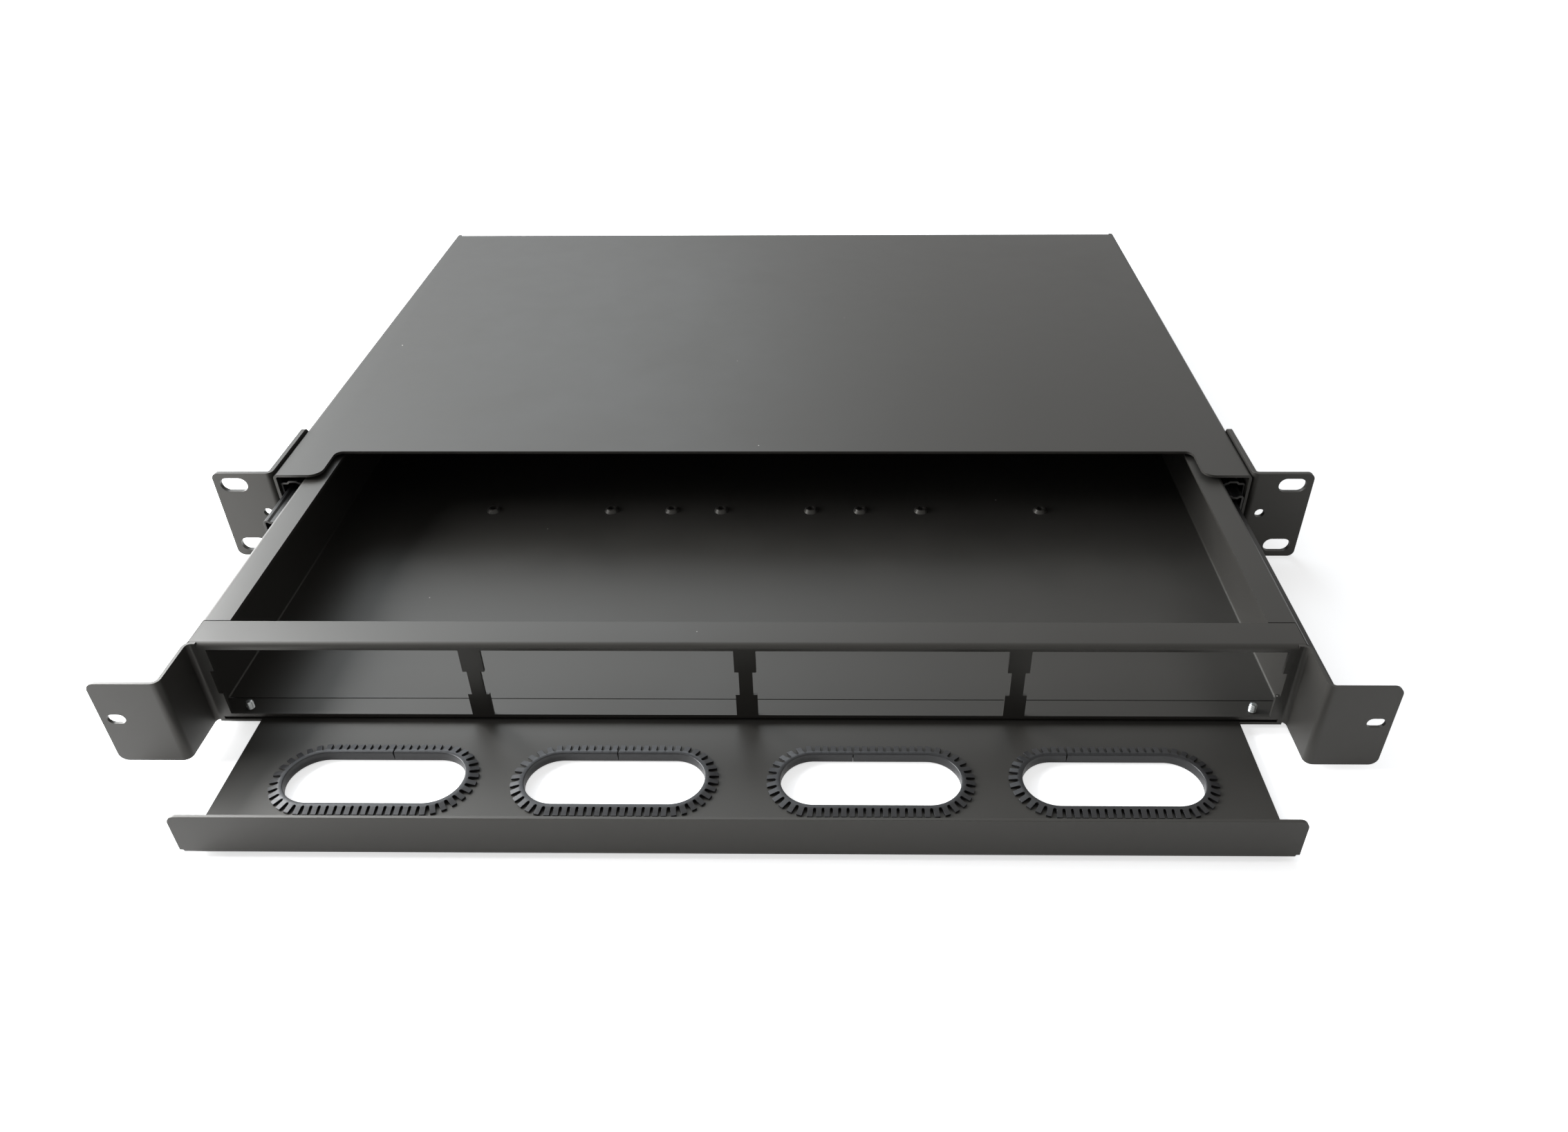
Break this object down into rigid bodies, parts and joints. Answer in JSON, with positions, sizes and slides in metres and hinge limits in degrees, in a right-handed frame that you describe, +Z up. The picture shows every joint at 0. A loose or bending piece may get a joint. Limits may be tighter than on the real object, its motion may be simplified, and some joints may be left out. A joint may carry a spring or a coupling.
{
  "type": "fibre patch panel",
  "caption": "Rack-mounted sliding fibre patch panel: steel housing and a ball-bearing drawer with adapter openings and a cable plate with long edged openings.",
  "frame": {"origin": "centre of the four rack slots, on the rear faces of the rack ears, which seat on the rack rails", "axes": "+X to the right seen from the front, +Y to the rear of the rack, +Z up; the drawer opens along -Y"},
  "size_m": [0.4826, 0.4757, 0.0436],
  "materials": {
    "black_powder_coat": "matt black powder coat",
    "black_slide_steel": "satin black electrocoat",
    "zinc_plate": "bright zinc plate",
    "cage_steel": "pressed zinc-plated strip",
    "bearing_steel": "polished",
    "edging_nylon": "matt black moulded nylon",
    "black_rubber": "matt"
  },
  "bodies": {
    "housing": {"top_cover": "black_powder_coat", "base_pan": "black_powder_coat", "rack_ear_left": "black_powder_coat", "rack_ear_right": "black_powder_coat", "ear_screws": "zinc_plate", "base_screws": "zinc_plate", "rear_screws": "zinc_plate", "housing_rivets": "zinc_plate", "slide_outer_left": "black_slide_steel", "slide_outer_right": "black_slide_steel", "cable_grommet_1": "black_rubber", "cable_grommet_2": "black_rubber"},
    "drawer": {"drawer_tray": "black_powder_coat", "front_panel": "black_powder_coat", "cable_plate": "black_powder_coat", "plate_screws": "zinc_plate", "drawer_rivets": "zinc_plate", "slide_inner_left": "black_slide_steel", "slide_inner_right": "black_slide_steel", "edging_strip_1": "edging_nylon", "edging_strip_2": "edging_nylon", "edging_strip_3": "edging_nylon", "edging_strip_4": "edging_nylon"},
    "middle_left": {"slide_middle_left": "black_slide_steel"},
    "cage_outer_left": {"ball_cage_outer_left": "cage_steel", "balls_outer_left": "bearing_steel"},
    "cage_inner_left": {"ball_cage_inner_left": "cage_steel", "balls_inner_left": "bearing_steel"},
    "middle_right": {"slide_middle_right": "black_slide_steel"},
    "cage_outer_right": {"ball_cage_outer_right": "cage_steel", "balls_outer_right": "bearing_steel"},
    "cage_inner_right": {"ball_cage_inner_right": "cage_steel", "balls_inner_right": "bearing_steel"}
  },
  "joints": [
    {"name": "drawer_slide", "type": "slide", "parent": "housing", "child": "drawer", "axis": [0, -1, 0], "range_m": [-0.131, 0.11]},
    {"name": "middle_left_slide", "type": "slide", "parent": "housing", "child": "middle_left", "axis": [0, -1, 0], "range_m": [-0.0655, 0.055]},
    {"name": "cage_outer_left_slide", "type": "slide", "parent": "housing", "child": "cage_outer_left", "axis": [0, -1, 0], "range_m": [-0.03275, 0.0275]},
    {"name": "cage_inner_left_slide", "type": "slide", "parent": "housing", "child": "cage_inner_left", "axis": [0, -1, 0], "range_m": [-0.09825, 0.0825]},
    {"name": "middle_right_slide", "type": "slide", "parent": "housing", "child": "middle_right", "axis": [0, -1, 0], "range_m": [-0.0655, 0.055]},
    {"name": "cage_outer_right_slide", "type": "slide", "parent": "housing", "child": "cage_outer_right", "axis": [0, -1, 0], "range_m": [-0.03275, 0.0275]},
    {"name": "cage_inner_right_slide", "type": "slide", "parent": "housing", "child": "cage_inner_right", "axis": [0, -1, 0], "range_m": [-0.09825, 0.0825]}
  ],
  "couplings": [
    {"joint": "middle_left_slide", "follows": "drawer_slide", "ratio": 0.5},
    {"joint": "cage_outer_left_slide", "follows": "drawer_slide", "ratio": 0.25},
    {"joint": "cage_inner_left_slide", "follows": "drawer_slide", "ratio": 0.75},
    {"joint": "middle_right_slide", "follows": "drawer_slide", "ratio": 0.5},
    {"joint": "cage_outer_right_slide", "follows": "drawer_slide", "ratio": 0.25},
    {"joint": "cage_inner_right_slide", "follows": "drawer_slide", "ratio": 0.75}
  ]
}
